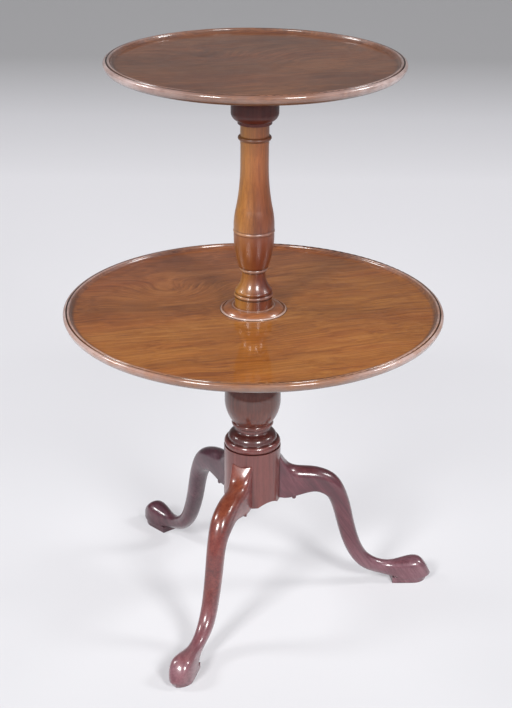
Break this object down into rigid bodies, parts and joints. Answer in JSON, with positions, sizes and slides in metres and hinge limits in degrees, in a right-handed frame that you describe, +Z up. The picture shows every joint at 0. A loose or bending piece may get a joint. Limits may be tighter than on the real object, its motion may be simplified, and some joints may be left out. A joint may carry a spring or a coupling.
{
  "type": "tiered side table",
  "caption": "Tiered round side table with dished, moulded tiers that revolve on a turned baluster column over a tripod of cabriole legs with pad feet.",
  "frame": {"origin": "on the column's axis, at floor level", "axes": "+Z up along the column's axis, -Y towards the front, +X to the right as seen from the front"},
  "size_m": [0.6203, 0.6094, 0.9337],
  "materials": {
    "tier_mahogany": "french polished, golden brown, figured grain",
    "column_mahogany": "french polished, reddish brown, straight grain",
    "base_mahogany": "french polished, dark red brown",
    "wrought_iron": "dark, dull",
    "screw_steel": "dull, darkened"
  },
  "bodies": {
    "stand": {"lower_column": "base_mahogany", "leg_right": "base_mahogany", "leg_left": "base_mahogany", "leg_front": "base_mahogany", "brace_plate": "wrought_iron", "brace_screws": "screw_steel", "upper_column": "column_mahogany", "foot_collar": "column_mahogany"},
    "lower_turntable": {"lower_tier": "tier_mahogany", "lower_boss": "base_mahogany", "lower_boss_screws": "screw_steel"},
    "top_turntable": {"top_tier": "tier_mahogany", "top_boss": "base_mahogany", "top_boss_screws": "screw_steel"}
  },
  "joints": [
    {"name": "lower_tier_turn", "type": "hinge", "parent": "stand", "child": "lower_turntable", "pos_m": [0, 0, 0.477], "axis": [0, 0, 1], "continuous": true},
    {"name": "top_tier_turn", "type": "hinge", "parent": "stand", "child": "top_turntable", "pos_m": [0, 0, 0.876], "axis": [0, 0, 1], "continuous": true}
  ]
}
